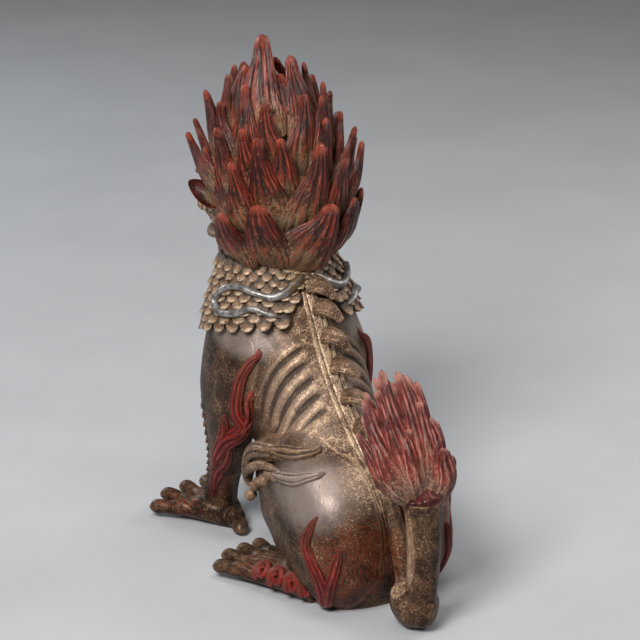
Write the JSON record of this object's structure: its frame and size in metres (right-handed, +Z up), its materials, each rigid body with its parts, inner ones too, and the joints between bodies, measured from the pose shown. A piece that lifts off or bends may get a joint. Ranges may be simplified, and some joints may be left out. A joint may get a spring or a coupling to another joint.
{
  "type": "qilin statue",
  "caption": "Seated bronze qilin with a flame mane, scaled collar, ribbed trunk, finned spine and upturned tail plume, lacquered red and gilded; a free-standing ornament.",
  "frame": {"origin": "on the ground, under the middle of the statue's box", "axes": "+Z up, the beast faces -Y, its left side is +X"},
  "size_m": [0.1828, 0.3042, 0.3863],
  "materials": {
    "dark_bronze": "dark patinated bronze, satin, with worn gilding",
    "gilt_bronze": "dusty worn gilding on bronze",
    "silvered_bronze": "rubbed silver grey",
    "red_lacquer": "worn cinnabar lacquer over bronze",
    "plume_lacquer": "chalky worn red lacquer over bronze",
    "eye_lacquer": "black lacquer with a gilt ring",
    "ivory_lacquer": "ivory lacquer",
    "pin_iron": "dark iron"
  },
  "bodies": {
    "root": {"trunk_shell": "dark_bronze", "scale_collar": "gilt_bronze", "left_ribbon": "silvered_bronze", "right_ribbon": "silvered_bronze", "spine_band": "gilt_bronze", "dorsal_fins": "gilt_bronze", "left_foreleg": "dark_bronze", "right_foreleg": "dark_bronze", "left_hind_leg": "dark_bronze", "right_hind_leg": "dark_bronze", "left_shoulder_flame": "red_lacquer", "right_shoulder_flame": "red_lacquer", "left_thigh_flame": "red_lacquer", "right_thigh_flame": "red_lacquer", "left_knee_guard": "gilt_bronze", "right_knee_guard": "gilt_bronze", "left_heel_curls": "red_lacquer", "right_heel_curls": "red_lacquer", "skull": "dark_bronze", "lower_jaw": "dark_bronze", "tongue": "red_lacquer", "fangs": "ivory_lacquer", "left_eye": "eye_lacquer", "right_eye": "eye_lacquer", "left_ear": "red_lacquer", "right_ear": "red_lacquer", "left_brow": "red_lacquer", "right_brow": "red_lacquer", "cheek_curls": "gilt_bronze", "beard": "red_lacquer", "horn": "gilt_bronze", "mane_core": "dark_bronze", "nape_locks": "red_lacquer", "second_locks": "red_lacquer", "third_locks": "red_lacquer", "fourth_locks": "red_lacquer", "crown_locks": "red_lacquer", "tail_stem": "dark_bronze", "tail_plume": "plume_lacquer", "plume_pins": "pin_iron", "neck_pin": "pin_iron", "front_leg_pins": "pin_iron", "hind_leg_pins": "pin_iron"}
  },
  "joints": []
}
